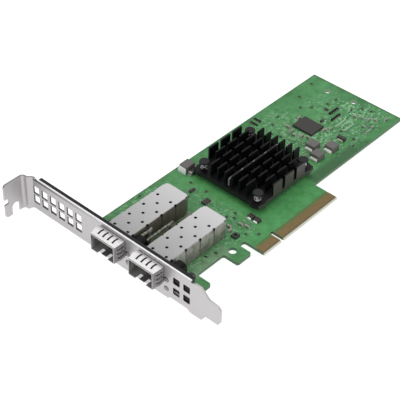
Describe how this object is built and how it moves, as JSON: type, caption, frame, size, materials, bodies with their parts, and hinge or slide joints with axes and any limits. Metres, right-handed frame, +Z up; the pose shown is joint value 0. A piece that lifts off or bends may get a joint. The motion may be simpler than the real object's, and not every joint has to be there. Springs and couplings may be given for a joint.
{
  "type": "network interface card",
  "caption": "Flat circuit board with edge contacts, a folded bracket, module ports and a finned heat sink; it links a computer to a network.",
  "frame": {"origin": "bottom centre of the part's bounding box, component side up", "axes": "+X across the card towards the edge contacts, +Y from the bracket to the far end, +Z up from the board's component side"},
  "size_m": [0.12, 0.1794, 0.0192],
  "materials": {
    "board_green": "solder mask, satin",
    "contact_gold": "thin gold plating",
    "bracket_steel": "bright plated sheet",
    "gasket_foam": "matt foam",
    "screw_steel": "plated",
    "cage_steel": "satin plated sheet",
    "collar_steel": "satin plated sheet",
    "connector_black": "moulded",
    "pipe_black": "moulded",
    "lens_clear": "frosted",
    "chip_lid": "plated lid",
    "pad_grey": "soft pad",
    "sink_black": "black anodised",
    "wire_steel": "bright wire",
    "pin_black": "moulded",
    "spring_steel": "bright wire",
    "chip_black": "moulded",
    "inductor_grey": "pressed powder",
    "capacitor_dark": "moulded",
    "resistor_dark": "coated",
    "capacitor_tan": "fired"
  },
  "bodies": {
    "root": {"bracket": "bracket_steel", "bracket_gasket": "gasket_foam", "bracket_screws": "screw_steel", "bulk_capacitors": "capacitor_dark", "chip_capacitors": "capacitor_tan", "chip_resistors": "resistor_dark", "circuit_board": "board_green", "clock_chip": "chip_black", "controller_chip": "chip_lid", "edge_contacts_bottom": "contact_gold", "edge_contacts_top": "contact_gold", "edge_networks": "resistor_dark", "filter_inductor": "inductor_grey", "heat_sink": "sink_black", "heat_sink_wire": "wire_steel", "light_lenses": "lens_clear", "light_pipe_block_left": "pipe_black", "light_pipe_block_right": "pipe_black", "management_chip": "chip_black", "memory_chip": "chip_black", "pin_springs": "spring_steel", "port_cage_left": "cage_steel", "port_cage_right": "cage_steel", "port_collar_left": "collar_steel", "port_collar_right": "collar_steel", "port_connector_left": "connector_black", "port_connector_right": "connector_black", "power_diodes": "chip_black", "power_inductors": "inductor_grey", "push_pins": "pin_black", "resistor_networks": "resistor_dark", "ring_inductor": "chip_black", "signal_chips": "chip_black", "tank_capacitor": "capacitor_dark", "thermal_pad": "pad_grey"}
  },
  "joints": []
}
